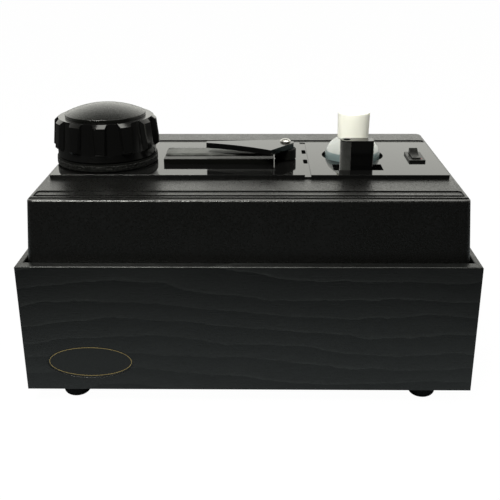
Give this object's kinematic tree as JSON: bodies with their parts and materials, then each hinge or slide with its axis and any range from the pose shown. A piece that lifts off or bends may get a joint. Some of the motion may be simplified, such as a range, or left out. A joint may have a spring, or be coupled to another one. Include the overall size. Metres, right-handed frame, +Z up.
{
  "type": "record cleaning machine",
  "caption": "Record cleaning machine: black ash cabinet, moulded top with glossy deck, fluted clamp knob, velvet vacuum slot, swing arm, fluid bottle and brush",
  "frame": {"origin": "centre of the bounding box in plan, on the plane of the feet's undersides", "axes": "+X to the right seen from the front, along the cabinet's width; +Y from the front panel to the back; +Z up"},
  "size_m": [0.375, 0.253, 0.235],
  "materials": {
    "ash_wood": "black stained ash, horizontal open grain, satin",
    "raw_wood": "unfinished softwood blocks and cleats",
    "board": "dark fibreboard",
    "housing_plastic": "vacuum formed black plastic, fine pebble grain",
    "gloss_acrylic": "polished black acrylic sheet",
    "black_plastic": "moulded black plastic, fine grain",
    "knob_plastic": "moulded black plastic, satin gloss",
    "cap_plastic": "textured black plastic",
    "velvet": "short black velvet pile",
    "black_rubber": "matt black rubber",
    "steel": "zinc plated steel",
    "chrome_steel": "polished nickel",
    "bronze": "sintered bronze",
    "nylon": "natural nylon",
    "frosted": "frosted translucent polypropylene",
    "clear_bottle": "translucent white polyethylene",
    "fluid": "blue grey cleaning fluid",
    "tank_plastic": "natural polyethylene",
    "motor_paint": "grey painted steel",
    "impeller_alloy": "spun aluminium",
    "copper": "lacquered copper windings",
    "plate_print": "dark plate with a thin plain border",
    "wire_cover": "wire insulation"
  },
  "bodies": {
    "cabinet": {"front_panel": "ash_wood", "back_panel": "ash_wood", "left_panel": "ash_wood", "right_panel": "ash_wood", "base_board": "board", "corner_blocks": "raw_wood", "support_cleats": "raw_wood", "rubber_feet": "black_rubber", "base_screws": "steel", "oval_plate": "plate_print", "top_housing": "housing_plastic", "housing_brackets": "steel", "bracket_screws": "steel", "deck_plate": "gloss_acrylic", "spindle_bearing": "bronze", "slot_bar": "gloss_acrylic", "rear_velvet_lip": "velvet", "front_velvet_lip": "velvet", "suction_box": "black_plastic", "suction_hose": "black_rubber", "roller_post": "steel", "post_nut": "steel", "arm_washers": "steel", "arm_screw": "chrome_steel", "bottle_well": "black_plastic", "brush_well": "black_plastic", "switch_body": "black_plastic", "waste_tank": "tank_plastic", "tank_lid": "tank_plastic", "drip_chute": "black_plastic", "fan_case": "motor_paint", "fan_cover": "motor_paint", "motor_can": "motor_paint", "motor_field": "copper", "motor_bearings": "steel", "motor_cradle": "motor_paint", "power_inlet": "black_plastic", "inlet_screws": "steel", "internal_wiring": "wire_cover"},
    "turntable": {"platter": "black_plastic", "platter_mat": "black_rubber", "spindle": "steel", "spindle_clip": "steel"},
    "clamp": {"clamp_knob": "knob_plastic", "knob_cap": "cap_plastic", "clamp_pad": "black_rubber", "knob_bush": "bronze"},
    "edge_roller": {"roller_tyre": "black_rubber", "roller_bush": "nylon"},
    "arm": {"swing_arm": "gloss_acrylic"},
    "fluid_bottle": {"bottle": "clear_bottle", "bottle_fluid": "fluid", "bottle_spout": "nylon"},
    "cap": {"bottle_cap": "frosted"},
    "brush": {"brush_handle": "knob_plastic", "brush_pad": "velvet"},
    "rocker": {"switch_rocker": "black_plastic"},
    "fan_rotor": {"fan_impeller": "impeller_alloy", "motor_rotor": "steel"},
    "plug": {"drain_plug": "black_rubber"}
  },
  "joints": [
    {"name": "platter_turn", "type": "hinge", "parent": "cabinet", "child": "turntable", "pos_m": [-0.1291, -0.005, 0.1835], "axis": [0, 0, 1], "continuous": true},
    {"name": "clamp_lift", "type": "slide", "parent": "turntable", "child": "clamp", "axis": [0, 0, 1], "range_m": [0, 0.06]},
    {"name": "edge_roller_turn", "type": "hinge", "parent": "cabinet", "child": "edge_roller", "pos_m": [0.0323, 0.0005, 0.188], "axis": [0, 0, 1], "continuous": true},
    {"name": "arm_swing", "type": "hinge", "parent": "cabinet", "child": "arm", "pos_m": [0.0323, 0.0005, 0.195], "axis": [0, 0, -1], "range_deg": [0, 100]},
    {"name": "bottle_lift", "type": "slide", "parent": "cabinet", "child": "fluid_bottle", "axis": [0, 0, 1], "range_m": [0, 0.12]},
    {"name": "bottle_cap_lift", "type": "slide", "parent": "fluid_bottle", "child": "cap", "axis": [0, 0, 1], "range_m": [0, 0.04]},
    {"name": "brush_lift", "type": "slide", "parent": "cabinet", "child": "brush", "axis": [0, 0, 1], "range_m": [0, 0.1]},
    {"name": "switch_rock", "type": "hinge", "parent": "cabinet", "child": "rocker", "pos_m": [0.1507, 0.0023, 0.1833], "axis": [1, 0, 0], "range_deg": [-24, 0]},
    {"name": "fan_turn", "type": "hinge", "parent": "cabinet", "child": "fan_rotor", "pos_m": [-0.1, 0, 0.081], "axis": [1, 0, 0], "continuous": true},
    {"name": "drain_plug_pull", "type": "slide", "parent": "cabinet", "child": "plug", "axis": [0, 0, -1], "range_m": [0, 0.0125]}
  ]
}
